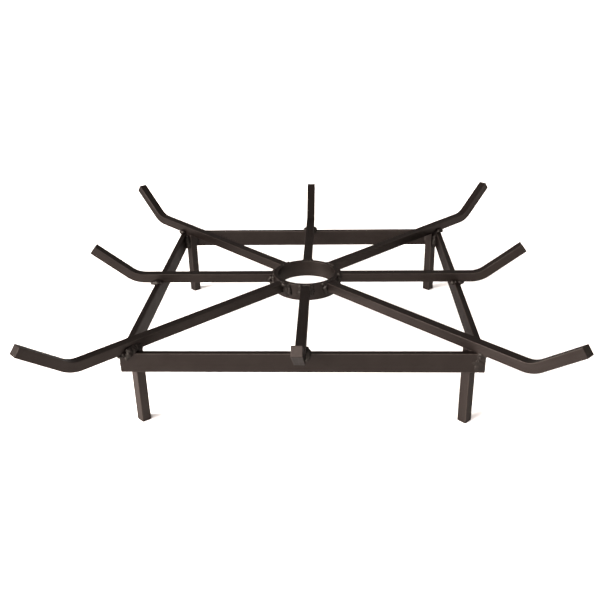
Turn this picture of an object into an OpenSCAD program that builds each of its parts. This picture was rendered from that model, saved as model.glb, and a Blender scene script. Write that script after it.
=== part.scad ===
// Square welded log grate for a fire pit or an open hearth.
// A square frame of flat bar on edge stands on four legs of square bar. Eight
// arms of square bar lie across the frame, run in to a ring at the middle, and
// turn up at their outer ends so that logs cannot roll off. Every joint is
// welded. The origin is on the ring's axis at floor level, +Z is up and the
// front of the grate is towards -Y.

/* [Frame] */
// Outer side of the square frame
frame_side = 432; // [300:2:700]
// Height of the flat bar, which stands on edge
rail_h = 25.4; // [16:0.1:40]
// Thickness of the flat bar
rail_t = 8; // [5:0.5:14]

/* [Legs] */
// Height from the floor to the top of the frame
leg_h = 102; // [60:1:200]
// Side of the leg's square bar
leg_bar = 12.7; // [8:0.1:20]

/* [Arms] */
// Side of the arm's square bar
arm_bar = 12.7; // [8:0.1:20]
// From the frame's outer face to the bend's corner point, on the four side arms
side_overhang = 27.5; // [22:0.5:80]
// From the frame's outer corner to the bend's corner point, on the four corner arms
corner_overhang = 61.5; // [25:0.5:120]
// Length of the upturned end, from the bend's corner point
tip_len = 72.5; // [50:0.5:150]
// How far the end turns up from level
tip_angle = 37.2; // [20:0.1:42]
// Radius of the bend at the bar's middle
bend_r = 36; // [16:0.5:46]

/* [Hub ring] */
// Outer diameter of the ring
ring_od = 93; // [60:1:160]
// Wall thickness of the ring
ring_wall = 6.4; // [3:0.1:10]
// Height of the ring
ring_h = 23; // [14:0.5:50]
// How far the ring stands above the arms
ring_proud = 0.5; // [0:0.1:3]

/* [Edges] */
// Eased edge of the rolled bars and of the ring
edge_ease = 0.6; // [0.2:0.1:1.2]

/* [Weld beads] */
// Radius of the bead between an arm and the ring
hub_bead = 3.4; // [2:0.1:4]
// Radius of the bead between an arm and the frame
arm_bead = 4.4; // [2.5:0.1:6]
// Radius of the bead between a leg and the frame
leg_bead = 4; // [2:0.1:5]
// Width of the bead over each corner seam of the frame
seam_w = 11; // [5:0.5:14]
// How far a seam bead stands off the frame's face
seam_proud = 1.8; // [0.5:0.1:3]

/* [Hidden] */
// Smoothness of the ring, the bends and the beads
ring_facets = 96;
bend_facets = 120;
bead_facets = 20;

// Frame
half = frame_side / 2;
inner = half - rail_t;
rail_mid_z = leg_h - rail_h / 2;

// Ring
ring_r = ring_od / 2;
ring_top = leg_h + arm_bar + ring_proud;
ring_mid_z = ring_top - ring_h / 2;

// Legs stand turned 45 degrees, each with two eased edges flat against the rails
leg_reach = (leg_bar - edge_ease) / sqrt(2);
leg_flat = edge_ease / sqrt(2);
leg_at = inner - leg_reach;

// Arms
arm_half = arm_bar / 2;
arm_z = leg_h + arm_half;
bend_in = bend_r * tan(tip_angle / 2);
bend_spare = 5;
side_bend = half + side_overhang;
corner_bend = half * sqrt(2) + corner_overhang;

// Beads: the line where an arm's side meets the ring, and how far each bead's
// round ends are set in from the ends of its joint
hub_bead_x = sqrt(ring_r * ring_r - arm_half * arm_half);
hub_bead_drop = 1;
arm_bead_inset = arm_bead * 0.3;
corner_bead_inset = arm_bead * 0.5;
groove_angle = 22.5;
groove_depth = leg_bead * 0.8;
seam_half = min(seam_w / 2, rail_t - edge_ease);
seam_length = rail_h - 2 * edge_ease;

// Reach of the blocks that trim a bead
cut = 40;

// Directions of the sides and corners, turning from +X
right = 0;
back_right = 45;
back = 90;
back_left = 135;
left = 180;
front_left = 225;
front = 270;
front_right = 315;

// Radius of the arc that spans a chord and rises by the given height
function arc_radius(chord, rise) = (chord * chord / 4 + rise * rise) / (2 * rise);

// Outline of a rolled bar with eased edges, w wide and h high, about its middle
module bar_section(w, h) {
    x = w / 2;
    y = h / 2;
    e = edge_ease;
    polygon([
        [e - x, -y], [x - e, -y], [x, e - y], [x, y - e],
        [x - e, y], [e - x, y], [-x, y - e], [-x, e - y]
    ]);
}

// Straight bar from the origin along +X
module straight_bar(length, w, h) {
    rotate([90, 0, 90]) linear_extrude(length) bar_section(w, h);
}

// Bead along +X with a domed end past each end of its length
module bead_along_x(length, r) {
    rotate([0, 90, 0]) bead_along_z(length, r);
}

// Bead along +Z with a domed end, in two slopes, past each end of its length
module bead_along_z(length, r) {
    dome = r * [[0, 0.9], [0.45, 0.9], [0.85, 0.5], [1, 0]];
    last = len(dome) - 1;
    top = [for (i = [0:last]) [dome[i].x, length + dome[i].y]];
    bottom = [for (i = [last:-1:0]) [dome[i].x, -dome[i].y]];
    rotate_extrude($fn = bead_facets) polygon(concat(top, bottom));
}

// Level part of an arm, from the ring's axis outwards
module arm_run(length) {
    translate([0, 0, arm_z]) straight_bar(length, arm_bar, arm_bar);
}

// The space inside the ring's outer wall, which the arms and beads stop at
module ring_core() {
    translate([0, 0, ring_mid_z]) cylinder(r = ring_r, h = 2 * cut, center = true, $fn = ring_facets);
}

// Flat bar on edge. One end runs out to the corner and the other butts the next rail
module rail(turn) {
    color("#4a403c") rotate([0, 0, turn])
        translate([inner + rail_t / 2, -half, rail_mid_z])
            rotate([0, 0, 90]) straight_bar(frame_side - rail_t, rail_t, rail_h);
}

// Square bar, turned to stand edge-on in the frame's inside corner
module leg(turn) {
    color("#463c38") rotate([0, 0, turn])
        translate([leg_at * sqrt(2), 0, 0])
            linear_extrude(leg_h) bar_section(leg_bar, leg_bar);
}

// Short length of pipe that the arms meet at
module hub_ring() {
    color("#50463f") rotate_extrude($fn = ring_facets)
        translate([ring_r - ring_wall / 2, ring_mid_z]) bar_section(ring_wall, ring_h);
}

// Curved stretch of an arm and its straight end, about the middle of the bend
module arm_upturn() {
    difference() {
        rotate([90, 90, 0]) rotate_extrude(angle = tip_angle + bend_spare, $fn = bend_facets)
            translate([bend_r, 0]) bar_section(arm_bar, arm_bar);
        rotate([0, -tip_angle, 0]) translate([0, -arm_bar, -bend_r - arm_bar])
            cube([cut, 2 * arm_bar, bend_r + arm_bar]);
    }
    rotate([0, -tip_angle, 0]) translate([0, 0, -bend_r])
        straight_bar(tip_len - bend_in, arm_bar, arm_bar);
}

// Square bar that lies on the frame, is fitted to the ring and turns up at its end
module arm(turn, bend_at) {
    run = bend_at - bend_in;
    color("#4d433e") rotate([0, 0, turn]) difference() {
        union() {
            arm_run(run);
            translate([run, 0, arm_z + bend_r]) arm_upturn();
        }
        ring_core();
    }
}

// Two upright beads, one in each corner between an arm's side and the ring
module hub_weld(turn) {
    bead_length = arm_bar - hub_bead + hub_bead_drop;
    color("#5a504a") rotate([0, 0, turn]) for (side = [-1, 1]) difference() {
        translate([hub_bead_x, side * arm_half, leg_h - hub_bead_drop])
            bead_along_z(bead_length, hub_bead);
        arm_run(ring_r + cut);
        ring_core();
    }
}

// Two beads, one on each side of a side arm where it crosses its rail
module arm_weld_side(turn) {
    bead_length = rail_t - 2 * arm_bead_inset;
    color("#5a504a") rotate([0, 0, turn]) for (side = [-1, 1]) difference() {
        translate([inner + arm_bead_inset, side * arm_half, leg_h])
            bead_along_x(bead_length, arm_bead);
        arm_run(half + cut);
        translate([inner + rail_t / 2, -cut, rail_mid_z])
            rotate([0, 0, 90]) straight_bar(2 * cut, rail_t, rail_h);
    }
}

// Two beads, one on each side of a corner arm, on top of the two rails
module arm_weld_corner(turn) {
    from_x = inner * sqrt(2) - arm_half + corner_bead_inset;
    bead_length = rail_t * sqrt(2) - 2 * corner_bead_inset;
    color("#5a504a") rotate([0, 0, turn]) for (side = [-1, 1]) difference() {
        intersection() {
            translate([from_x, side * arm_half, leg_h]) bead_along_x(bead_length, arm_bead);
            rotate([0, 0, 45]) translate([-half, -half, leg_h]) cube([frame_side, frame_side, cut]);
        }
        arm_run(half * sqrt(2) + cut);
    }
}

// Upright bead in the groove between a leg and the rail that ends at +X
module leg_bead_groove() {
    groove = [inner, leg_at - leg_flat];
    middle = groove - groove_depth * [sin(groove_angle), cos(groove_angle)];
    bead_length = rail_h - 2 * leg_bead;
    difference() {
        intersection() {
            translate([middle.x, middle.y, leg_h - rail_h + leg_bead]) bead_along_z(bead_length, leg_bead);
            translate([groove.x - cut, groove.y - cut, 0]) cube([cut, cut, leg_h + cut]);
        }
        rotate([0, 0, 45]) leg(0);
    }
}

// Two upright beads, one on each side of a leg
module leg_weld(turn) {
    color("#564c46") rotate([0, 0, turn]) for (side = [0, 1])
        mirror([0, side, 0]) rotate([0, 0, -45]) leg_bead_groove();
}

// Low bead over the seam where one rail's end butts the next rail
module seam_weld(turn) {
    across_r = arc_radius(2 * seam_half, seam_proud);
    along_r = arc_radius(seam_length, seam_proud);
    color("#564c46") rotate([0, 0, turn - 45]) intersection() {
        translate([half + seam_proud - across_r, inner, rail_mid_z])
            cylinder(r = across_r, h = rail_h, center = true, $fn = ring_facets);
        translate([half + seam_proud - along_r, inner, rail_mid_z]) rotate([90, 0, 0])
            cylinder(r = along_r, h = rail_h, center = true, $fn = 2 * ring_facets);
        translate([half, inner - cut / 2, rail_mid_z - cut / 2]) cube(cut);
    }
}

rail(front);  // rail_front
rail(right);  // rail_right
rail(back);  // rail_back
rail(left);  // rail_left
leg(front_right);  // leg_front_right
leg(back_right);  // leg_back_right
leg(back_left);  // leg_back_left
leg(front_left);  // leg_front_left
hub_ring();
arm(front, side_bend);  // arm_front
arm(right, side_bend);  // arm_right
arm(back, side_bend);  // arm_back
arm(left, side_bend);  // arm_left
arm(front_right, corner_bend);  // arm_front_right
arm(back_right, corner_bend);  // arm_back_right
arm(back_left, corner_bend);  // arm_back_left
arm(front_left, corner_bend);  // arm_front_left
hub_weld(front);  // hub_weld_front
hub_weld(right);  // hub_weld_right
hub_weld(back);  // hub_weld_back
hub_weld(left);  // hub_weld_left
hub_weld(front_right);  // hub_weld_front_right
hub_weld(back_right);  // hub_weld_back_right
hub_weld(back_left);  // hub_weld_back_left
hub_weld(front_left);  // hub_weld_front_left
arm_weld_side(front);  // arm_weld_front
arm_weld_side(right);  // arm_weld_right
arm_weld_side(back);  // arm_weld_back
arm_weld_side(left);  // arm_weld_left
arm_weld_corner(front_right);  // arm_weld_front_right
arm_weld_corner(back_right);  // arm_weld_back_right
arm_weld_corner(back_left);  // arm_weld_back_left
arm_weld_corner(front_left);  // arm_weld_front_left
leg_weld(front_right);  // leg_weld_front_right
leg_weld(back_right);  // leg_weld_back_right
leg_weld(back_left);  // leg_weld_back_left
leg_weld(front_left);  // leg_weld_front_left
seam_weld(front_right);  // seam_weld_front_right
seam_weld(back_right);  // seam_weld_back_right
seam_weld(back_left);  // seam_weld_back_left
seam_weld(front_left);  // seam_weld_front_left
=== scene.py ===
"""Square welded log grate for a fire pit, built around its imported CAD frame.

Metres throughout, in the CAD's own frame: the origin is on the hub ring's axis at
floor level, +Z is up and the front of the grate is towards -Y. Sizes that come from
the bars themselves are written in millimetres and multiplied by mm.
"""
import math

import bpy
from mathutils import Matrix, Vector


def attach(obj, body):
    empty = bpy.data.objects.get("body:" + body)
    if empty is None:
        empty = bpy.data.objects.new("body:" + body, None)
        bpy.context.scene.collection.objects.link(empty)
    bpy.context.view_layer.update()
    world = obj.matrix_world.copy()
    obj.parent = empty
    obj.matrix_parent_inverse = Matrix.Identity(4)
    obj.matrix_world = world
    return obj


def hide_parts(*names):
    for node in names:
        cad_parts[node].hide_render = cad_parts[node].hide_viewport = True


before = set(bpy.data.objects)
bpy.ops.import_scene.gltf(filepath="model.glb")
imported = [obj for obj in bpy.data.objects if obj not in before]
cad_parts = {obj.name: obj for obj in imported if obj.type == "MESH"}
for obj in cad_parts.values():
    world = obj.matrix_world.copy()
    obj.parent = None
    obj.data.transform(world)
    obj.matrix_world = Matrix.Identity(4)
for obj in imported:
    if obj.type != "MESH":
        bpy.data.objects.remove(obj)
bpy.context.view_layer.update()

scene = bpy.context.scene

# ---- Camera ------------------------------------------------------------------------
# It looks down on the front of the grate from a little over a metre away, slightly to
# the right of the middle. Its place and angles are those that the outline of the real
# grate fits, seen in a square picture.
camera_place = Vector((0.0386, -1.0015, 0.5372))
camera_turn = math.radians(2.769)
camera_dip = math.radians(24.923)
camera_roll = math.radians(-1.285)
# An unturned camera looks straight down, and this turn makes it look level
level_view = math.radians(90)
# In millimetres, as on a real camera
sensor_width = 36.0
focal_length = 45.88

camera_data = bpy.data.cameras.new("camera")
camera_data.sensor_width = sensor_width
camera_data.lens = focal_length
camera = bpy.data.objects.new("camera", camera_data)
scene.collection.objects.link(camera)
camera.matrix_world = (
    Matrix.Translation(camera_place)
    @ Matrix.Rotation(camera_turn, 4, "Z")
    @ Matrix.Rotation(level_view - camera_dip, 4, "X")
    @ Matrix.Rotation(camera_roll, 4, "Z")
)
scene.camera = camera

# ---- Floor and light ---------------------------------------------------------------
# A plain white studio floor, lit until it goes out white; the bars' sides mirror it. A
# strong warm-white soft box is far off at the left, a weaker one above the camera and a
# small one on the floor, and the dim back of the room shows in the bars' top faces.
floor_side = 40.0
# Matt studio paper: almost white, with the faintest clouds, 1.25 m across
paper_tones = ("#f1f0ee", "#f4f3f1")
paper_cloud = 1.25
paper_roughness = 0.9
lamp_colour = "#fff6f2"
# The soft box at the left, the one above the camera, and the room's back and right side:
# turn from +X, height above the horizon, half-width of the full and of the faded disc
# (all in degrees), and strength
distant_lights = (
    (212, 25, 8, 24, 46.5),
    (265, 40, 8, 18, 15.5),
    (72, 48, 38, 52, 0.62),
    (8, 14, 10, 26, 0.5),
)
# The room's far walls: a pale strip above the horizon all round, full up to the first
# height and gone at the second, in degrees
far_walls_glow = 1.15
far_walls_heights = (7, 11)
# The small soft box faces the two front legs: its side in metres, its power in watts and
# the width of its beam in degrees
low_box_place = Vector((-0.62, -0.27, 0.045))
low_box_faces = Vector((0.0, -0.2, 0.01))
low_box_side = 0.12
low_box_power = 2.1
low_box_beam = 60


def linear(hex_colour):
    """The linear RGBA of an sRGB colour written as #rrggbb."""
    shares = [int(hex_colour[i : i + 2], 16) / 255 for i in (1, 3, 5)]
    bent = [s / 12.92 if s <= 0.04045 else ((s + 0.055) / 1.055) ** 2.4 for s in shares]
    return (*bent, 1.0)


def add_node(tree, kind, inputs=None, **settings):
    """A new node with its settings, and with each named input set or linked."""
    node = tree.nodes.new(kind)
    for name, value in settings.items():
        setattr(node, name, value)
    for name, value in (inputs or {}).items():
        if isinstance(value, bpy.types.NodeSocket):
            tree.links.new(value, node.inputs[name])
        else:
            node.inputs[name].default_value = value
    return node


paper = bpy.data.materials.new("matt_studio_paper")
paper.use_nodes = True
tree = paper.node_tree
tree.nodes.clear()
place = add_node(tree, "ShaderNodeTexCoord")
cloud = add_node(
    tree, "ShaderNodeTexNoise", {"Vector": place.outputs["Object"], "Scale": 1 / paper_cloud}
)
tone = add_node(tree, "ShaderNodeValToRGB", {"Fac": cloud.outputs["Fac"]})
for stop, colour in zip(tone.color_ramp.elements, paper_tones):
    stop.color = linear(colour)
surface = add_node(
    tree,
    "ShaderNodeBsdfPrincipled",
    {"Base Color": tone.outputs["Color"], "Roughness": paper_roughness},
)
add_node(tree, "ShaderNodeOutputMaterial", {"Surface": surface.outputs["BSDF"]})

floor_mesh = bpy.data.meshes.new("floor")
half_floor = floor_side / 2
floor_mesh.from_pydata(
    [
        (-half_floor, -half_floor, 0),
        (half_floor, -half_floor, 0),
        (half_floor, half_floor, 0),
        (-half_floor, half_floor, 0),
    ],
    [],
    [(0, 1, 2, 3)],
)
floor_mesh.materials.append(paper)
floor = bpy.data.objects.new("floor", floor_mesh)
scene.collection.objects.link(floor)

surround = bpy.data.worlds.new("surround")
scene.world = surround
surround.use_nodes = True
tree = surround.node_tree
tree.nodes.clear()
view_way = add_node(tree, "ShaderNodeTexCoord").outputs["Generated"]
view_height = add_node(tree, "ShaderNodeSeparateXYZ", {"Vector": view_way}).outputs["Z"]
far_walls = add_node(
    tree,
    "ShaderNodeMapRange",
    {
        "Value": view_height,
        "From Min": math.sin(math.radians(far_walls_heights[1])),
        "From Max": math.sin(math.radians(far_walls_heights[0])),
        "To Max": far_walls_glow,
    },
    interpolation_type="SMOOTHSTEP",
)
brightness = far_walls.outputs["Result"]
for turn, height, full_disc, faded_disc, strength in distant_lights:
    towards = Matrix.Rotation(math.radians(turn), 3, "Z") @ Vector(
        (math.cos(math.radians(height)), 0, math.sin(math.radians(height)))
    )
    closeness = add_node(
        tree, "ShaderNodeVectorMath", {0: view_way, 1: towards}, operation="DOT_PRODUCT"
    )
    disc = add_node(
        tree,
        "ShaderNodeMapRange",
        {
            "Value": closeness.outputs["Value"],
            "From Min": math.cos(math.radians(faded_disc)),
            "From Max": math.cos(math.radians(full_disc)),
            "To Max": strength,
        },
        interpolation_type="SMOOTHSTEP",
    )
    total = add_node(
        tree, "ShaderNodeMath", {0: brightness, 1: disc.outputs["Result"]}, operation="ADD"
    )
    brightness = total.outputs["Value"]
glow = add_node(
    tree, "ShaderNodeBackground", {"Color": linear(lamp_colour), "Strength": brightness}
)
add_node(tree, "ShaderNodeOutputWorld", {"Surface": glow.outputs["Background"]})

lamp = bpy.data.lights.new("low_soft_box", "AREA")
lamp.shape = "SQUARE"
lamp.size = low_box_side
lamp.energy = low_box_power
lamp.spread = math.radians(low_box_beam)
lamp.color = linear(lamp_colour)[:3]
low_box = bpy.data.objects.new("low_soft_box", lamp)
scene.collection.objects.link(low_box)
facing = (low_box_faces - low_box_place).to_track_quat("-Z", "Y")
low_box.matrix_world = Matrix.Translation(low_box_place) @ facing.to_matrix().to_4x4()

scene.view_settings.view_transform = "Standard"
scene.view_settings.look = "None"

# ---- Frame rails -------------------------------------------------------------------
# Four lengths of 25.4 x 8 mm flat steel bar, standing on edge. Each runs out to one
# corner and butts against the inside of the next, so the frame is a pinwheel, and it
# is welded and then painted with a satin heat-resistant paint.
mm = 0.001
frame_half = 216 * mm
rail_height = 25.4 * mm
rail_thick = 8 * mm
rail_top = 102 * mm
rail_edge = 1.2 * mm
# Turn of each side from +X, in degrees
sides = {"right": 0, "back": 90, "left": 180, "front": 270}

# Heat-resistant paint on rolled steel: a warm brown-black film, satin, with a fine
# orange peel, faint lengthwise rolling marks and slightly thinner, worn edges. The
# edges also carry a painted highlight, a lighter line along them. These are its tones,
# each with its place on the ramp, and the one at the edges: partly wear, partly
# painted highlight
film_tones = ((0.35, "#050302"), (0.65, "#0a0706"))
worn_and_highlight_edge_tone = "#3b3632"
# Clouds where the film is a little thicker or thinner
film_cloud = 35 * mm
# Length and spacing of the rolling marks, and how far they show in the film's tone
mark_length = 60 * mm
mark_gap = 1.4 * mm
mark_share = 0.25
# Patches along the edges where the lighter edge tone shows (worn film and painted
# highlight), cells of the orange peel, and the spacing of the saw marks on a cut end;
# a wave at scale 1 repeats at wave_length
rubbed_patch = 3 * mm
peel_cell = 2 * mm
saw_mark_gap = 0.9 * mm
wave_length = math.tau / 20
# Strength and depth of the saw marks, the rolling marks and the peel
saw_mark_relief = (0.5, 0.05 * mm)
rolled_relief = (0.6, 0.03 * mm)
peel_relief = (0.7, 0.05 * mm)
# Most of a noise lies in this span; roughness follows it between satin and eggshell
noise_span = (0.3, 0.7)
film_roughness = (0.34, 0.44)
# A paint film has an IOR of about 1.5, raised here until its sheen matched the grate's
film_ior = 2.3
film_glint = "#f2e2da"
# Share of the gloss that the matting powder in the film lets through, across its clouds
gloss_share = (0.138, 0.106)
bar_paint = bpy.data.materials.new("satin_heat_paint_on_rolled_bar")
bar_paint.use_nodes = True
tree = bar_paint.node_tree
tree.nodes.clear()
place = add_node(tree, "ShaderNodeTexCoord")
on_bar = add_node(tree, "ShaderNodeAttribute", attribute_name="bar_place")
edge_mask = add_node(tree, "ShaderNodeAttribute", attribute_name="edge")
cut_mask = add_node(tree, "ShaderNodeAttribute", attribute_name="cut_end")
cloud = add_node(
    tree,
    "ShaderNodeTexNoise",
    {
        "Vector": place.outputs["Object"],
        "Scale": 1 / film_cloud,
        "Detail": 3.0,
        "Roughness": 0.55,
    },
)
# The rolling marks are a noise that is drawn out along the bar
stretched = add_node(
    tree,
    "ShaderNodeMapping",
    {"Vector": on_bar.outputs["Vector"], "Scale": (1 / mark_length, 1 / mark_gap, 1 / mark_gap)},
)
streak = add_node(
    tree,
    "ShaderNodeTexNoise",
    {"Vector": stretched.outputs["Vector"], "Scale": 1.0, "Detail": 2.0},
)
film = add_node(
    tree,
    "ShaderNodeMath",
    {0: cloud.outputs["Fac"], 1: streak.outputs["Fac"], 2: mark_share},
    operation="MULTIPLY_ADD",
)
film_ramp = add_node(tree, "ShaderNodeValToRGB", {"Fac": film.outputs["Value"]})
for stop, (position, colour) in zip(film_ramp.color_ramp.elements, film_tones):
    stop.position = position
    stop.color = linear(colour)
rub = add_node(
    tree,
    "ShaderNodeTexNoise",
    {"Vector": place.outputs["Object"], "Scale": 1 / rubbed_patch, "Detail": 2.0},
)
# Lighter tone on the rounded edges, broken into patches: worn film with a painted highlight line
worn_and_highlight_edges = add_node(
    tree,
    "ShaderNodeMath",
    {0: rub.outputs["Fac"], 1: edge_mask.outputs["Fac"]},
    operation="MULTIPLY",
)
coloured = add_node(
    tree,
    "ShaderNodeMix",
    {"Factor": worn_and_highlight_edges.outputs["Value"], 6: film_ramp.outputs["Color"], 7: linear(worn_and_highlight_edge_tone)},
    data_type="RGBA",
)
roughness = add_node(
    tree,
    "ShaderNodeMapRange",
    {
        "Value": streak.outputs["Fac"],
        "From Min": noise_span[0],
        "From Max": noise_span[1],
        "To Min": film_roughness[0],
        "To Max": film_roughness[1],
    },
)
peel = add_node(
    tree,
    "ShaderNodeTexNoise",
    {"Vector": place.outputs["Object"], "Scale": 1 / peel_cell, "Detail": 2.0},
)
saw = add_node(
    tree,
    "ShaderNodeTexWave",
    {
        "Vector": on_bar.outputs["Vector"],
        "Scale": wave_length / saw_mark_gap,
        "Distortion": 1.5,
        "Detail": 1.0,
    },
    bands_direction="Y",
)
saw_marks = add_node(
    tree,
    "ShaderNodeMath",
    {0: saw.outputs["Fac"], 1: cut_mask.outputs["Fac"]},
    operation="MULTIPLY",
)
# One relief on top of the other
relief = {}
for pattern, (strength, depth) in (
    (saw_marks.outputs["Value"], saw_mark_relief),
    (streak.outputs["Fac"], rolled_relief),
    (peel.outputs["Fac"], peel_relief),
):
    bump = add_node(
        tree,
        "ShaderNodeBump",
        {"Strength": strength, "Distance": depth, "Height": pattern, **relief},
    )
    relief = {"Normal": bump.outputs["Normal"]}
shiny = add_node(
    tree,
    "ShaderNodeBsdfPrincipled",
    {
        "Base Color": coloured.outputs[2],
        "Roughness": roughness.outputs["Result"],
        "IOR": film_ior,
        "Specular Tint": linear(film_glint),
        **relief,
    },
)
matt = add_node(tree, "ShaderNodeBsdfDiffuse", {"Color": coloured.outputs[2], **relief})
sheen = add_node(
    tree,
    "ShaderNodeMapRange",
    {
        "Value": cloud.outputs["Fac"],
        "From Min": noise_span[0],
        "From Max": noise_span[1],
        "To Min": gloss_share[0],
        "To Max": gloss_share[1],
    },
)
surface = add_node(
    tree,
    "ShaderNodeMixShader",
    {"Fac": sheen.outputs["Result"], 1: matt.outputs["BSDF"], 2: shiny.outputs["BSDF"]},
)
add_node(tree, "ShaderNodeOutputMaterial", {"Surface": surface.outputs["Shader"]})


def new_geometry_tree(name, inputs):
    """A geometry tree with a geometry in and out, and the named inputs after it."""
    made = bpy.data.node_groups.new(name, "GeometryNodeTree")
    made.interface.new_socket("Geometry", in_out="INPUT", socket_type="NodeSocketGeometry")
    made.interface.new_socket("Geometry", in_out="OUTPUT", socket_type="NodeSocketGeometry")
    for label, kind in inputs.items():
        made.interface.new_socket(label, in_out="INPUT", socket_type="NodeSocket" + kind)
    return made


# The tree carries a bar's section along the path that the piece's vertices give, with
# its long edges rounded in so many steps
edge_steps = 4
bar_tree = new_geometry_tree(
    "Bar along its path",
    {
        "Width": "Float",
        "Height": "Float",
        "Edge radius": "Float",
        "Cope radius": "Float",
        "Paint": "Material",
    },
)
given = add_node(bar_tree, "NodeGroupInput").outputs
outline = add_node(
    bar_tree,
    "GeometryNodeCurvePrimitiveQuadrilateral",
    {"Width": given["Width"], "Height": given["Height"]},
)
rounded = add_node(
    bar_tree,
    "GeometryNodeFilletCurve",
    {"Curve": outline.outputs["Curve"], "Count": edge_steps, "Radius": given["Edge radius"]},
    mode="POLY",
)
here = add_node(bar_tree, "GeometryNodeInputPosition")
section = add_node(
    bar_tree,
    "GeometryNodeStoreNamedAttribute",
    {"Geometry": rounded.outputs["Curve"], "Name": "section", "Value": here.outputs["Position"]},
    data_type="FLOAT_VECTOR",
)
path = add_node(bar_tree, "GeometryNodeMeshToCurve", {"Mesh": given["Geometry"]})
untwisted = add_node(
    bar_tree, "GeometryNodeSetCurveNormal", {"Curve": path.outputs["Curve"]}, mode="Z_UP"
)
run = add_node(bar_tree, "GeometryNodeSplineParameter")
measured = add_node(
    bar_tree,
    "GeometryNodeStoreNamedAttribute",
    {"Geometry": untwisted.outputs["Curve"], "Name": "along", "Value": run.outputs["Length"]},
)
swept = add_node(
    bar_tree,
    "GeometryNodeCurveToMesh",
    {
        "Curve": measured.outputs["Geometry"],
        "Profile Curve": section.outputs["Geometry"],
        "Fill Caps": True,
    },
)
across = add_node(
    bar_tree, "GeometryNodeInputNamedAttribute", {"Name": "section"}, data_type="FLOAT_VECTOR"
)
along = add_node(bar_tree, "GeometryNodeInputNamedAttribute", {"Name": "along"})
split = add_node(bar_tree, "ShaderNodeSeparateXYZ", {"Vector": across.outputs["Attribute"]})
spot = add_node(
    bar_tree,
    "ShaderNodeCombineXYZ",
    {"X": along.outputs["Attribute"], "Y": split.outputs["X"], "Z": split.outputs["Y"]},
)
placed = add_node(
    bar_tree,
    "GeometryNodeStoreNamedAttribute",
    {"Geometry": swept.outputs["Mesh"], "Name": "bar_place", "Value": spot.outputs["Vector"]},
    data_type="FLOAT_VECTOR",
)
# How far a point is from each face, to find the rounded edges between two faces
depths = []
for size, offset in (("Width", "X"), ("Height", "Y")):
    half_size = add_node(
        bar_tree, "ShaderNodeMath", {0: given[size], 1: 0.5}, operation="MULTIPLY"
    )
    distance = add_node(
        bar_tree, "ShaderNodeMath", {0: split.outputs[offset]}, operation="ABSOLUTE"
    )
    depth = add_node(
        bar_tree,
        "ShaderNodeMath",
        {0: half_size.outputs["Value"], 1: distance.outputs["Value"]},
        operation="SUBTRACT",
    )
    depths.append(depth.outputs["Value"])
deeper = add_node(bar_tree, "ShaderNodeMath", {0: depths[0], 1: depths[1]}, operation="MAXIMUM")
roundness = add_node(
    bar_tree,
    "ShaderNodeMapRange",
    {"Value": deeper.outputs["Value"], "From Min": given["Edge radius"], "From Max": 0.0},
)
edged = add_node(
    bar_tree,
    "GeometryNodeStoreNamedAttribute",
    {"Geometry": placed.outputs["Geometry"], "Name": "edge", "Value": roundness.outputs["Result"]},
)
# The end caps are the only faces with more corners than a swept face has
swept_face_corners = 4
neighbours = add_node(bar_tree, "GeometryNodeInputMeshFaceNeighbors")
is_cap = add_node(
    bar_tree,
    "FunctionNodeCompare",
    {2: neighbours.outputs["Vertex Count"], 3: swept_face_corners},
    data_type="INT",
    operation="GREATER_THAN",
)
capped = add_node(
    bar_tree,
    "GeometryNodeStoreNamedAttribute",
    {"Geometry": edged.outputs["Geometry"], "Name": "cut_end", "Value": is_cap.outputs["Result"]},
    domain="FACE",
)
# The first end, up to start_reach along the path, is coped: it follows the outer wall of
# the ring that it butts
start_reach = 0.01 * mm
at = add_node(bar_tree, "ShaderNodeSeparateXYZ", {"Vector": here.outputs["Position"]})
radius_squared = add_node(
    bar_tree, "ShaderNodeMath", {0: given["Cope radius"], 1: 2.0}, operation="POWER"
)
across_squared = add_node(
    bar_tree, "ShaderNodeMath", {0: at.outputs["Y"], 1: 2.0}, operation="POWER"
)
left_over = add_node(
    bar_tree,
    "ShaderNodeMath",
    {0: radius_squared.outputs["Value"], 1: across_squared.outputs["Value"]},
    operation="SUBTRACT",
)
wall_x = add_node(bar_tree, "ShaderNodeMath", {0: left_over.outputs["Value"]}, operation="SQRT")
on_wall = add_node(
    bar_tree,
    "ShaderNodeCombineXYZ",
    {"X": wall_x.outputs["Value"], "Y": at.outputs["Y"], "Z": at.outputs["Z"]},
)
at_start = add_node(
    bar_tree,
    "FunctionNodeCompare",
    {0: along.outputs["Attribute"], 1: start_reach},
    data_type="FLOAT",
    operation="LESS_THAN",
)
butts = add_node(
    bar_tree,
    "FunctionNodeCompare",
    {0: given["Cope radius"], 1: 0.0},
    data_type="FLOAT",
    operation="GREATER_THAN",
)
coped_end = add_node(
    bar_tree,
    "FunctionNodeBooleanMath",
    {0: at_start.outputs["Result"], 1: butts.outputs["Result"]},
    operation="AND",
)
coped = add_node(
    bar_tree,
    "GeometryNodeSetPosition",
    {
        "Geometry": capped.outputs["Geometry"],
        "Selection": coped_end.outputs["Boolean"],
        "Position": on_wall.outputs["Vector"],
    },
)
real = add_node(bar_tree, "GeometryNodeRealizeInstances", {"Geometry": coped.outputs["Geometry"]})
painted = add_node(
    bar_tree,
    "GeometryNodeSetMaterial",
    {"Geometry": real.outputs["Geometry"], "Material": given["Paint"]},
)
add_node(bar_tree, "NodeGroupOutput", {"Geometry": painted.outputs["Geometry"]})

bars = bpy.data.collections.new("bars")
scene.collection.children.link(bars)
# The file takes this width off the burr of a sawn end, in so many steps, and touches
# only edges at least this sharp
filed_width = 0.8 * mm
filed_steps = 2
filed_angle = math.radians(60)
# Large faces settle the shading of the corners next to them
large_face_weight = 100


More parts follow.
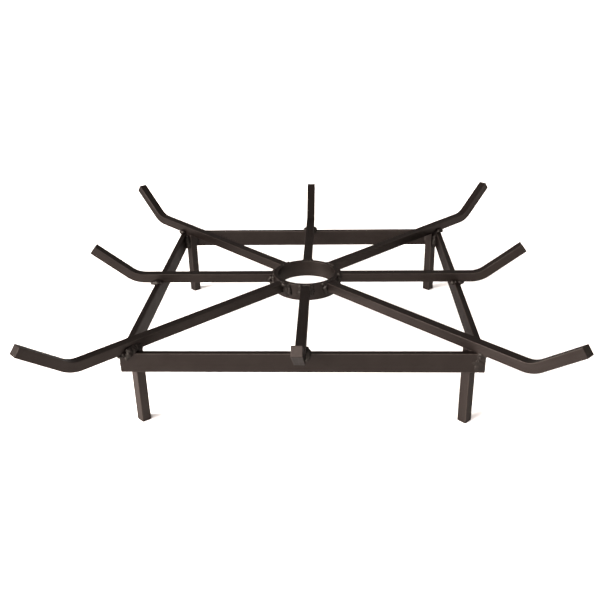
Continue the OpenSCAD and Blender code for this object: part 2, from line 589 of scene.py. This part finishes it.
def grow(name, start_mesh, made_by, values, collection, filed=False):
    """Runs a geometry tree on a start mesh and keeps the result as a plain mesh piece."""
    source = bpy.data.objects.new(name + "_start", start_mesh)
    scene.collection.objects.link(source)
    modifier = source.modifiers.new("growth", "NODES")
    modifier.node_group = made_by
    for item in made_by.interface.items_tree:
        if item.in_out == "INPUT" and item.name in values:
            modifier[item.identifier] = values[item.name]
    if filed:
        bevel = source.modifiers.new("saw_burr_filed_off", "BEVEL")
        bevel.width = filed_width
        bevel.segments = filed_steps
        bevel.limit_method = "ANGLE"
        bevel.angle_limit = filed_angle
        flat = source.modifiers.new("flat_faces_stay_flat", "WEIGHTED_NORMAL")
        flat.weight = large_face_weight
    graph = bpy.context.evaluated_depsgraph_get()
    mesh = bpy.data.meshes.new_from_object(
        source.evaluated_get(graph), preserve_all_data_layers=True, depsgraph=graph
    )
    bpy.data.objects.remove(source)
    mesh.name = name
    piece = bpy.data.objects.new(name, mesh)
    collection.objects.link(piece)
    return piece


def path_mesh(name, points, closed=False):
    """A start mesh whose only content is a chain of vertices joined by edges."""
    mesh = bpy.data.meshes.new(name)
    count = len(points)
    links = [(i, i + 1) for i in range(count - 1)]
    if closed:
        links.append((count - 1, 0))
    mesh.from_pydata(points, links, [])
    return mesh


def make_bar(name, points, width, height, edge, where, closed=False, cope_radius=0.0):
    """A painted bar along a path in its own frame, which is then moved into place."""
    piece = grow(
        name,
        path_mesh(name + "_path", points, closed),
        bar_tree,
        {
            "Width": width,
            "Height": height,
            "Edge radius": edge,
            "Cope radius": cope_radius,
            "Paint": bar_paint,
        },
        bars,
        filed=True,
    )
    piece.data.transform(where)
    return piece


def turned(degrees):
    """A turn about the ring's upright axis."""
    return Matrix.Rotation(math.radians(degrees), 4, "Z")


rail_length = 2 * frame_half - rail_thick
# A bar is made along +X; this takes it to the right side, from its front corner along +Y
rail_start = Vector((frame_half - rail_thick / 2, -frame_half, rail_top - rail_height / 2))
along_side = Matrix.Translation(rail_start) @ turned(90)
for side, turn in sides.items():
    rail = make_bar(
        "rail_" + side + "_flat_bar",
        [(0, 0, 0), (rail_length, 0, 0)],
        rail_thick,
        rail_height,
        rail_edge,
        turned(turn) @ along_side,
    )
    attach(rail, "root")
    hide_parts("rail_" + side)

# ---- Legs --------------------------------------------------------------------------
# Four lengths of 12.7 mm square bar, square-cut, each turned to stand edge-on in an
# inside corner of the frame with its top level with the rails' top edges.
leg_bar = 12.7 * mm
leg_edge = 1.4 * mm
# In the CAD frame two long edges of a leg, eased this much, rest flat against the rails
leg_ease = 0.6 * mm
leg_reach = (frame_half - rail_thick) * math.sqrt(2) - (leg_bar - leg_ease)
# Turn of each corner from +X, in degrees
corners = {"back_right": 45, "back_left": 135, "front_left": 225, "front_right": 315}
# Stands a bar up that was made along +X
upright = Matrix.Rotation(math.radians(-90), 4, "Y")
for corner, turn in corners.items():
    leg = make_bar(
        "leg_" + corner + "_square_bar",
        [(0, 0, 0), (rail_top, 0, 0)],
        leg_bar,
        leg_bar,
        leg_edge,
        turned(turn) @ Matrix.Translation((leg_reach, 0, 0)) @ upright,
    )
    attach(leg, "root")
    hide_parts("leg_" + corner)

# ---- Hub ring ----------------------------------------------------------------------
# A 23 mm slice of steel pipe, 93 mm across with a 6.4 mm wall, sawn off square. The
# arms butt against its outer wall and its rim stands half a millimetre above them.
ring_radius = 46.5 * mm
ring_wall = 6.4 * mm
ring_height = 23 * mm
ring_edge = 0.6 * mm
ring_steps = 144
# The arms lie on the rails, and the ring's rim stands a little above them
arm_bar = 12.7 * mm
ring_proud = 0.5 * mm
ring_rim = rail_top + arm_bar + ring_proud
middle_radius = ring_radius - ring_wall / 2
circle = []
for step in range(ring_steps):
    angle = math.tau * step / ring_steps
    circle.append((middle_radius * math.cos(angle), middle_radius * math.sin(angle), 0))
ring = make_bar(
    "hub_ring_pipe",
    circle,
    ring_wall,
    ring_height,
    ring_edge,
    Matrix.Translation((0, 0, ring_rim - ring_height / 2)),
    closed=True,
)
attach(ring, "root")
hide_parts("hub_ring")

# ---- Arms --------------------------------------------------------------------------
# Eight lengths of 12.7 mm square bar, bent cold to a 36 mm radius near the outer end.
# They lie on the rails, butt against the ring and turn up so that logs can't roll off.
arm_edge = 0.6 * mm
arm_height = rail_top + arm_bar / 2
bend_radius = 36 * mm
bend_angle = math.radians(37.2)
bend_steps = 20
# How far the point of the bend lies outside the frame's face and outside its corner,
# and the length of bar from there to the end
side_overhang = 27.5 * mm
corner_overhang = 61.5 * mm
upturned = 72.5 * mm
# The bend starts and ends this far from its point
bend_reach = bend_radius * math.tan(bend_angle / 2)
tip_length = upturned - bend_reach
arm_start = math.sqrt(ring_radius**2 - (arm_bar / 2) ** 2)
side_run = frame_half + side_overhang - bend_reach
corner_run = frame_half * math.sqrt(2) + corner_overhang - bend_reach


def arm_path(run_end):
    """Points along the middle of an arm: level from the ring, round the bend and up."""
    points = [(arm_start, 0, arm_height)]
    for step in range(bend_steps + 1):
        angle = bend_angle * step / bend_steps
        x = run_end + bend_radius * math.sin(angle)
        z = arm_height + bend_radius * (1 - math.cos(angle))
        points.append((x, 0, z))
    x += tip_length * math.cos(bend_angle)
    z += tip_length * math.sin(bend_angle)
    points.append((x, 0, z))
    return points


arms = [(side, turn, side_run) for side, turn in sides.items()]
arms += [(corner, turn, corner_run) for corner, turn in corners.items()]
for direction, turn, run_end in arms:
    arm = make_bar(
        "arm_" + direction + "_bent_bar",
        arm_path(run_end),
        arm_bar,
        arm_bar,
        arm_edge,
        turned(turn),
        cope_radius=ring_radius,
    )
    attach(arm, "root")
    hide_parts("arm_" + direction)

# ---- Welds between the arms and the hub ring ---------------------------------------
# Each arm is held to the ring by an upright fillet bead on both sides, laid by hand in
# short lumpy runs, and by a low bead over its top. The paint goes over them all.

# The same paint on weld metal: it pools between the ripples, which makes it patchy, and
# shows the pits and slag specks under it. These are its tones, with their places
pool_tones = ((0.35, "#070404"), (0.7, "#0f0a09"))
pool_width = 4 * mm
pool_roughness = (0.52, 0.4)
pit_width = 0.8 * mm
pit_strength = 0.6
pit_depth = 0.12 * mm
weld_glint = "#eae5da"
# The film is thin here, and a little glossier than on most of the bars
weld_gloss_share = 0.134
weld_paint = bpy.data.materials.new("satin_heat_paint_on_weld_metal")
weld_paint.use_nodes = True
tree = weld_paint.node_tree
tree.nodes.clear()
place = add_node(tree, "ShaderNodeTexCoord")
pool = add_node(
    tree,
    "ShaderNodeTexNoise",
    {"Vector": place.outputs["Object"], "Scale": 1 / pool_width, "Detail": 3.0},
)
pool_ramp = add_node(tree, "ShaderNodeValToRGB", {"Fac": pool.outputs["Fac"]})
for stop, (position, colour) in zip(pool_ramp.color_ramp.elements, pool_tones):
    stop.position = position
    stop.color = linear(colour)
roughness = add_node(
    tree,
    "ShaderNodeMapRange",
    {
        "Value": pool.outputs["Fac"],
        "From Min": noise_span[0],
        "From Max": noise_span[1],
        "To Min": pool_roughness[0],
        "To Max": pool_roughness[1],
    },
)
pits = add_node(
    tree,
    "ShaderNodeTexNoise",
    {"Vector": place.outputs["Object"], "Scale": 1 / pit_width, "Detail": 2.0},
)
pitted = add_node(
    tree,
    "ShaderNodeBump",
    {"Strength": pit_strength, "Distance": pit_depth, "Height": pits.outputs["Fac"]},
)
shiny = add_node(
    tree,
    "ShaderNodeBsdfPrincipled",
    {
        "Base Color": pool_ramp.outputs["Color"],
        "Roughness": roughness.outputs["Result"],
        "IOR": film_ior,
        "Specular Tint": linear(weld_glint),
        "Normal": pitted.outputs["Normal"],
    },
)
matt = add_node(
    tree,
    "ShaderNodeBsdfDiffuse",
    {"Color": pool_ramp.outputs["Color"], "Normal": pitted.outputs["Normal"]},
)
surface = add_node(
    tree,
    "ShaderNodeMixShader",
    {"Fac": weld_gloss_share, 1: matt.outputs["BSDF"], 2: shiny.outputs["BSDF"]},
)
add_node(tree, "ShaderNodeOutputMaterial", {"Surface": surface.outputs["Shader"]})

# The tree lays drops of metal along each line of the start mesh, fuses them into one
# bead, roughens it, and scatters a few drops of spatter on the nearest bar faces
weld_tree = new_geometry_tree(
    "Weld bead along its joint",
    {
        "Bead radius": "Float",
        "Drop spacing": "Float",
        "Wander": "Float",
        "Unevenness": "Float",
        "Grain": "Float",
        "Lump height": "Float",
        "Press point": "Vector",
        "Press normal": "Vector",
        "Press": "Float",
        "Bars": "Collection",
        "Spatter count": "Int",
        "Spatter reach": "Float",
        "Spatter size": "Float",
        "Seed": "Int",
        "Paint": "Material",
    },
)
given = add_node(weld_tree, "NodeGroupInput").outputs
# Three of the random draws have seeds of their own, a fixed step away from the weld's
own_seeds = {}
for draw, step in (("drop thickness", 17.0), ("spatter place", 53.0), ("spatter size", 71.0)):
    seed = add_node(weld_tree, "ShaderNodeMath", {0: given["Seed"], 1: step}, operation="ADD")
    own_seeds[draw] = seed.outputs["Value"]
joint = add_node(weld_tree, "GeometryNodeMeshToCurve", {"Mesh": given["Geometry"]})
drops = add_node(
    weld_tree,
    "GeometryNodeCurveToPoints",
    {"Curve": joint.outputs["Curve"], "Length": given["Drop spacing"]},
    mode="LENGTH",
)
shake = add_node(
    weld_tree,
    "FunctionNodeRandomValue",
    {0: (-1.0, -1.0, -1.0), 1: (1.0, 1.0, 1.0), "Seed": given["Seed"]},
    data_type="FLOAT_VECTOR",
)
shift = add_node(
    weld_tree,
    "ShaderNodeVectorMath",
    {0: shake.outputs[0], "Scale": given["Wander"]},
    operation="SCALE",
)
wandering = add_node(
    weld_tree,
    "GeometryNodeSetPosition",
    {"Geometry": drops.outputs["Points"], "Offset": shift.outputs["Vector"]},
)
thickness = add_node(weld_tree, "GeometryNodeInputNamedAttribute", {"Name": "thickness"})
luck = add_node(
    weld_tree,
    "FunctionNodeRandomValue",
    {2: -1.0, 3: 1.0, "Seed": own_seeds["drop thickness"]},
    data_type="FLOAT",
)
swing = add_node(
    weld_tree,
    "ShaderNodeMath",
    {0: luck.outputs[1], 1: given["Unevenness"], 2: 1.0},
    operation="MULTIPLY_ADD",
)
share = add_node(
    weld_tree,
    "ShaderNodeMath",
    {0: swing.outputs["Value"], 1: thickness.outputs["Attribute"]},
    operation="MULTIPLY",
)
drop_radius = add_node(
    weld_tree,
    "ShaderNodeMath",
    {0: share.outputs["Value"], 1: given["Bead radius"]},
    operation="MULTIPLY",
)
molten = add_node(
    weld_tree,
    "GeometryNodePointsToVolume",
    {
        "Points": wandering.outputs["Geometry"],
        "Voxel Size": given["Grain"],
        "Radius": drop_radius.outputs["Value"],
    },
    resolution_mode="VOXEL_SIZE",
)
# The skin of the fused metal, and how often it is smoothed
skin_density = 0.1
fusing_rounds = 3
solid = add_node(
    weld_tree,
    "GeometryNodeVolumeToMesh",
    {"Volume": molten.outputs["Volume"], "Threshold": skin_density},
    resolution_mode="GRID",
)
here = add_node(weld_tree, "GeometryNodeInputPosition")
average = add_node(
    weld_tree,
    "GeometryNodeBlurAttribute",
    {"Value": here.outputs["Position"], "Iterations": fusing_rounds},
    data_type="FLOAT_VECTOR",
)
fused = add_node(
    weld_tree,
    "GeometryNodeSetPosition",
    {"Geometry": solid.outputs["Mesh"], "Position": average.outputs["Value"]},
)
# Lumps with several sizes of smaller ones on them
lump_width = 4 * mm
lumps = add_node(
    weld_tree,
    "ShaderNodeTexNoise",
    {
        "Vector": here.outputs["Position"],
        "Scale": 1 / lump_width,
        "Detail": 3.5,
        "Roughness": 0.75,
    },
)
centred = add_node(
    weld_tree, "ShaderNodeMath", {0: lumps.outputs["Fac"], 1: 0.5}, operation="SUBTRACT"
)
lump_height = add_node(
    weld_tree,
    "ShaderNodeMath",
    {0: centred.outputs["Value"], 1: given["Lump height"]},
    operation="MULTIPLY",
)
facing = add_node(weld_tree, "GeometryNodeInputNormal")
bulge = add_node(
    weld_tree,
    "ShaderNodeVectorMath",
    {0: facing.outputs["Normal"], "Scale": lump_height.outputs["Value"]},
    operation="SCALE",
)
lumpy = add_node(
    weld_tree,
    "GeometryNodeSetPosition",
    {"Geometry": fused.outputs["Geometry"], "Offset": bulge.outputs["Vector"]},
)
# Where a bead lies over a flat seam it is pressed down towards the bar's face
to_face = add_node(
    weld_tree,
    "ShaderNodeVectorMath",
    {0: given["Press point"], 1: here.outputs["Position"]},
    operation="SUBTRACT",
)
face_height = add_node(
    weld_tree,
    "ShaderNodeVectorMath",
    {0: to_face.outputs["Vector"], 1: given["Press normal"]},
    operation="DOT_PRODUCT",
)
press_height = add_node(
    weld_tree,
    "ShaderNodeMath",
    {0: face_height.outputs["Value"], 1: given["Press"]},
    operation="MULTIPLY",
)
pressed_by = add_node(
    weld_tree,
    "ShaderNodeVectorMath",
    {0: given["Press normal"], "Scale": press_height.outputs["Value"]},
    operation="SCALE",
)
pressed = add_node(
    weld_tree,
    "GeometryNodeSetPosition",
    {"Geometry": lumpy.outputs["Geometry"], "Offset": pressed_by.outputs["Vector"]},
)
smooth = add_node(
    weld_tree, "GeometryNodeSetShadeSmooth", {"Geometry": pressed.outputs["Geometry"]}
)
# Spatter: loose points near the joint, moved to the nearest bar face, where each becomes
# a small ball; the smallest is this share of the largest
smallest_spatter = 0.4
loose = add_node(weld_tree, "GeometryNodePoints", {"Count": given["Spatter count"]})
sizes = add_node(
    weld_tree,
    "GeometryNodeAttributeDomainSize",
    {"Geometry": drops.outputs["Points"]},
    component="POINTCLOUD",
)
last = add_node(
    weld_tree, "ShaderNodeMath", {0: sizes.outputs["Point Count"], 1: 1.0}, operation="SUBTRACT"
)
pick = add_node(
    weld_tree,
    "FunctionNodeRandomValue",
    {4: 0, 5: last.outputs["Value"], "Seed": given["Seed"]},
    data_type="INT",
)
beside = add_node(
    weld_tree,
    "GeometryNodeSampleIndex",
    {
        "Geometry": drops.outputs["Points"],
        "Value": here.outputs["Position"],
        "Index": pick.outputs[2],
    },
    data_type="FLOAT_VECTOR",
    clamp=True,
)
fling = add_node(
    weld_tree,
    "FunctionNodeRandomValue",
    {0: (-1.0, -1.0, -1.0), 1: (1.0, 1.0, 1.0), "Seed": own_seeds["spatter place"]},
    data_type="FLOAT_VECTOR",
)
flung = add_node(
    weld_tree,
    "ShaderNodeVectorMath",
    {0: fling.outputs[0], "Scale": given["Spatter reach"]},
    operation="SCALE",
)
landing = add_node(
    weld_tree,
    "ShaderNodeVectorMath",
    {0: beside.outputs["Value"], 1: flung.outputs["Vector"]},
    operation="ADD",
)
steel = add_node(weld_tree, "GeometryNodeCollectionInfo", {"Collection": given["Bars"]})
steel_faces = add_node(
    weld_tree, "GeometryNodeRealizeInstances", {"Geometry": steel.outputs["Instances"]}
)
nearest = add_node(
    weld_tree,
    "GeometryNodeProximity",
    {"Geometry": steel_faces.outputs["Geometry"], "Sample Position": landing.outputs["Vector"]},
)
landed = add_node(
    weld_tree,
    "GeometryNodeSetPosition",
    {"Geometry": loose.outputs["Points"], "Position": nearest.outputs["Position"]},
)
ball = add_node(weld_tree, "GeometryNodeMeshIcoSphere", {"Radius": 1.0, "Subdivisions": 2})
spatter_share = add_node(
    weld_tree,
    "FunctionNodeRandomValue",
    {2: smallest_spatter, 3: 1.0, "Seed": own_seeds["spatter size"]},
    data_type="FLOAT",
)
spatter_radius = add_node(
    weld_tree,
    "ShaderNodeMath",
    {0: spatter_share.outputs[1], 1: given["Spatter size"]},
    operation="MULTIPLY",
)
spatter = add_node(
    weld_tree,
    "GeometryNodeInstanceOnPoints",
    {
        "Points": landed.outputs["Geometry"],
        "Instance": ball.outputs["Mesh"],
        "Scale": spatter_radius.outputs["Value"],
    },
)
all_metal = add_node(weld_tree, "GeometryNodeJoinGeometry")
weld_tree.links.new(smooth.outputs["Geometry"], all_metal.inputs[0])
weld_tree.links.new(spatter.outputs["Instances"], all_metal.inputs[0])
real = add_node(
    weld_tree, "GeometryNodeRealizeInstances", {"Geometry": all_metal.outputs["Geometry"]}
)
painted = add_node(
    weld_tree,
    "GeometryNodeSetMaterial",
    {"Geometry": real.outputs["Geometry"], "Material": given["Paint"]},
)
add_node(weld_tree, "NodeGroupOutput", {"Geometry": painted.outputs["Geometry"]})

welds = bpy.data.collections.new("welds")
scene.collection.children.link(welds)


def lay_weld(node, lines, where, seed, **changes):
    """A weld along lines of (x, y, z, thickness) in its joint's own frame.

    The place is in millimetres, and a thickness of 1 gives a bead of the full radius.
    """
    name = node + "_bead"
    points = []
    links = []
    thicknesses = []
    for line in lines:
        for index, (x, y, z, thick) in enumerate(line):
            if index:
                links.append((len(points) - 1, len(points)))
            points.append(where @ (Vector((x, y, z)) * mm))
            thicknesses.append(thick)
    mesh = bpy.data.meshes.new(name + "_lines")
    mesh.from_pydata(points, links, [])
    layer = mesh.attributes.new("thickness", "FLOAT", "POINT")
    layer.data.foreach_set("value", thicknesses)
    # Drops wander from their line and vary in thickness, and the fused metal is cut into
    # cells of the grain's size
    values = {
        "Bead radius": 3.2 * mm,
        "Drop spacing": 1.5 * mm,
        "Wander": 0.7 * mm,
        "Unevenness": 0.25,
        "Grain": 0.35 * mm,
        "Lump height": 2.2 * mm,
        "Press": 0.0,
        "Bars": bars,
        "Spatter count": 6,
        "Spatter reach": 9 * mm,
        "Spatter size": 0.6 * mm,
        "Seed": seed,
        "Paint": weld_paint,
    }
    values.update(changes)
    piece = grow(name, mesh, weld_tree, values, welds)
    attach(piece, "root")
    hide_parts(node)


# What every arm has: a bead up each of its sides and a low one over its top
side_beads = []
for hand in (-1, 1):
    foot = (46.3, hand * 6.5, 100.5, 0.8)
    middle = (46.3, hand * 6.7, 106, 1.0)
    head = (46.3, hand * 6.5, 113.2, 0.85)
    side_beads.append([foot, middle, head])
top_bead = [(46.4, -5, 113.9, 0.45), (46.4, 5, 113.9, 0.45)]
# The extra runs of each joint, laid by hand, so no two joints are alike
filled_up = {
    "front_left": [
        [(46.6, 8.4, 112.6, 1.2), (46.2, 9.9, 105, 1.2), (46.2, 9.3, 98.5, 1.0)],
        [(45, 12.4, 112.6, 0.95), (44.6, 14.4, 107.5, 0.9), (44.9, 13.6, 101, 0.8)],
        [(50.5, 7.2, 112.6, 0.8), (47.6, 10.4, 113, 0.85)],
    ],
    "front": [
        [(45.6, -4.6, 114.2, 0.6), (46, -1, 114.6, 0.8), (45.8, 3.6, 114.4, 0.65)],
        [(45.6, 8.2, 113, 0.85), (45.4, 10, 107, 0.8), (45.8, 9, 99, 0.6)],
    ],
    "front_right": [[(45.4, -10.4, 113.8, 0.65), (45.8, -7.4, 113.8, 0.8)]],
    "left": [
        [(46.2, 8, 111.5, 0.9), (46, 8.6, 103, 0.9)],
        [(49.5, 7.2, 111, 0.8), (52.5, 6.8, 105.5, 0.6), (49, 7.2, 101, 0.7)],
    ],
    "right": [[(46.2, -7.7, 113.1, 0.9), (46.2, -7.9, 106, 0.75)]],
    "back": [[(44.4, -1.6, 114.6, 0.75), (44.8, 1.8, 114.4, 0.65)]],
    "back_left": [[(44.8, 3.5, 114.1, 0.6), (46.4, 7.8, 112.7, 0.9)]],
    "back_right": [[(44.6, -1.5, 114.4, 0.65), (45.6, -6, 114.6, 0.95), (45.4, -9.6, 113.4, 0.9)]],
}
hub_weld_seed = 100
for number, (direction, turn, _) in enumerate(arms):
    lay_weld(
        "hub_weld_" + direction,
        [*side_beads, top_bead, *filled_up[direction]],
        turned(turn),
        seed=hub_weld_seed + number,
    )

# ---- Welds between the arms and the frame ------------------------------------------
# Beads on both sides of every arm where it crosses the frame, laid by hand on top of the
# rails. Some were dragged on down a rail's face or filled up with a second run.
across_frame = {
    "right": [
        [(204.8, -6.6, 101.2, 0.65), (206.8, -6.8, 100.6, 0.85), (210.5, -6.8, 102, 0.5)],
        [(217.2, -6.4, 100.4, 0.9), (219.8, -6.6, 101.2, 0.75), (221.8, -6.6, 101.8, 0.4)],
        [(208, 7.1, 102.6, 0.9), (215.5, 7.5, 102.2, 1.0)],
    ],
    "back": [
        [
            (207, -7.7, 98.5, 0.55),
            (207.2, -7.7, 104, 0.7),
            (207.6, -7.3, 108, 0.6),
            (214, -7.5, 103, 0.9),
        ],
        [(207.6, 7.7, 104.6, 0.8), (214.5, 7.7, 103, 1.0)],
    ],
    "left": [
        [
            (206.4, 7.1, 101.6, 0.7),
            (212, 9.3, 103.2, 1.2),
            (216, 8.9, 102.6, 1.2),
            (220.6, 7.1, 101.6, 0.65),
        ],
        [(208, -7.1, 102.6, 0.9), (215.5, -7.5, 102.2, 1.0)],
    ],
    "front": [
        [
            (209.5, 6.8, 104.6, 0.9),
            (214.6, 8.2, 103.4, 1.2),
            (216.4, 8.4, 99.4, 1.0),
            (216.6, 7.4, 94.4, 0.65),
        ],
        [(210.5, 6, 103.6, 1.0), (216.2, 6.2, 101, 1.15), (216.6, 6.2, 97.5, 0.7)],
        [(210.5, -7.3, 103, 0.95), (216, -7.9, 101.4, 0.9), (216.4, -7.9, 96, 0.6)],
    ],
    "back_right": [
        [(288, -6.9, 97, 0.8), (292, -7.9, 103, 1.1), (298, -8.1, 103, 0.9)],
        [(289, 7.1, 103, 0.9), (297, 7.5, 102.6, 1.0)],
    ],
    "back_left": [
        [(288.5, 6.5, 98, 0.9), (292.5, 8.3, 103.2, 1.25), (299, 8.7, 103, 0.9)],
        [(289, -7.1, 103, 0.9), (297, -7.5, 102.6, 1.0)],
    ],
    "front_left": [
        [
            (279.5, 8.3, 104, 0.85),
            (287.5, 8.5, 104, 0.95),
            (295, 9.9, 104, 1.35),
            (299.5, 9.9, 101, 1.3),
        ],
        [(279, 6.6, 106.6, 0.6), (288, 6.8, 106.8, 0.75), (297, 7.4, 106.4, 0.95)],
        [(299, 8.9, 98.5, 0.9), (299.2, 8.1, 95.5, 0.6)],
        [(302.5, 6.3, 101, 0.9), (309, 5.5, 101, 0.65)],
        [(289, -7.1, 103, 0.9), (297, -7.5, 102.6, 1.0)],
    ],
    "front_right": [
        [(300.4, -6, 102.2, 0.55), (302.4, -3.8, 101, 0.85), (305.8, -1.6, 100.8, 0.8)],
        [(300.9, -5.2, 101, 0.6), (300.9, -5.2, 97, 0.5), (300.4, -5.6, 93, 0.45)],
        [(289, 7.1, 103, 0.9), (297, 7.5, 102.6, 1.0)],
    ],
}
arm_weld_seed = 200
for number, (direction, turn, _) in enumerate(arms):
    lay_weld(
        "arm_weld_" + direction,
        across_frame[direction],
        turned(turn),
        seed=arm_weld_seed + number,
    )

# ---- Welds between the legs and the rails ------------------------------------------
# Two upright beads in the grooves that a leg makes with the two rails of its corner,
# from the underside of the rails to their top edges.

# The lines are those of the back right corner, and the other corners turn from there
first_corner = corners["back_right"]
up_groove = [
    [(206.2, 195.6, 80, 1.3), (205.4, 194.8, 88, 1.6), (206.2, 196, 98, 1.2)],
    [(195.6, 206.2, 80, 1.3), (194.8, 205.4, 88, 1.6), (196, 206.2, 98, 1.2)],
]
leg_weld_seed = 300
for number, (corner, turn) in enumerate(corners.items()):
    lay_weld(
        "leg_weld_" + corner,
        up_groove,
        turned(turn - first_corner),
        seed=leg_weld_seed + number,
    )

# ---- Welds over the corner seams ---------------------------------------------------
# A low, broad bead on the outside of each corner, over the seam where the end of one
# rail shows against the next.
over_seam = [
    [(216, 202, 89.6, 0.4), (216, 206.5, 88.8, 0.65), (216, 211, 88.4, 0.6)],
    [(216, 211, 87, 0.7), (216, 208.6, 83.8, 0.9), (216, 206.6, 80.8, 0.6)],
    [(216, 207.2, 92, 0.5), (216, 207.8, 95.5, 0.45), (216, 207.4, 99.5, 0.45)],
]
# A point of the seam on the frame's face, the way that face looks, and how much of its
# height over the face a bead loses
seam_middle = Vector((frame_half, frame_half - rail_thick, 90 * mm))
seam_outward = Vector((1, 0, 0))
seam_press = 0.74
seam_radius = 5.0 * mm
seam_weld_seed = 400
for number, (corner, turn) in enumerate(corners.items()):
    where = turned(turn - first_corner)
    pressed_flat = {
        "Bead radius": seam_radius,
        "Press point": where @ seam_middle,
        "Press normal": where.to_3x3() @ seam_outward,
        "Press": seam_press,
    }
    lay_weld(
        "seam_weld_" + corner, over_seam, where, seed=seam_weld_seed + number, **pressed_flat
    )
